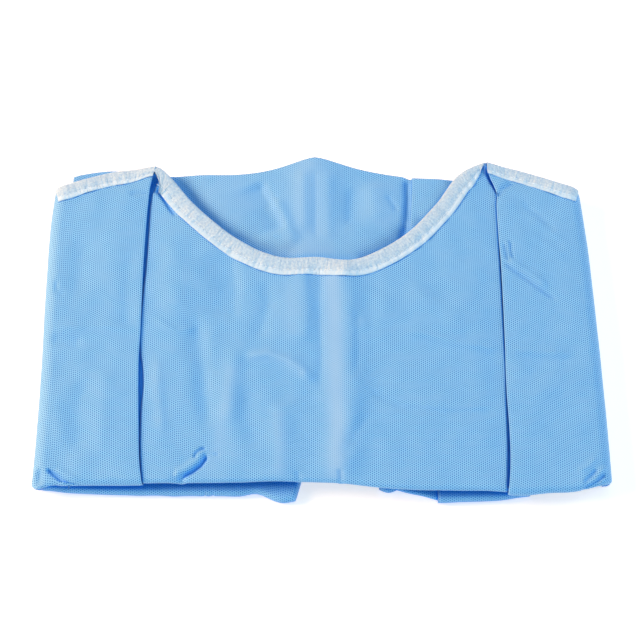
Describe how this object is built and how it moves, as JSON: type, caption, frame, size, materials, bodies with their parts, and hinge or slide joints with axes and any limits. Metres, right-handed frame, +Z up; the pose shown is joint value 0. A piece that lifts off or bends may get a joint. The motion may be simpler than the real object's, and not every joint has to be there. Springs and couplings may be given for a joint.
{
  "type": "folded surgical gown",
  "caption": "Disposable surgical gown folded flat into a rectangular pack, chest panel up with its bound neck scoop, back panels folded over both sides, flat underside.",
  "frame": {"origin": "middle of the pack's bounding box, on the surface it lies on", "axes": "+X along the pack's width, to the right as seen from the front fold; +Y towards the neck; +Z up, out of the chest panel"},
  "size_m": [0.3934, 0.2626, 0.0239],
  "materials": {
    "gown_cloth": "soft matte blue SMS nonwoven, point bonded in a fine staggered dot lattice",
    "binding_tape": "matte white nonwoven tape, folded over the neck edge and stitched"
  },
  "bodies": {
    "root": {"front_panel": "gown_cloth", "back_panel_left": "gown_cloth", "back_panel_right": "gown_cloth", "skirt_fold": "gown_cloth", "skirt_fold_right": "gown_cloth", "skirt_edge_right": "gown_cloth", "skirt_tuck": "gown_cloth", "sleeve_left": "gown_cloth", "sleeve_right": "gown_cloth", "folded_layers": "gown_cloth", "neck_binding_front": "binding_tape", "neck_binding_left": "binding_tape", "neck_binding_right": "binding_tape"}
  },
  "joints": []
}
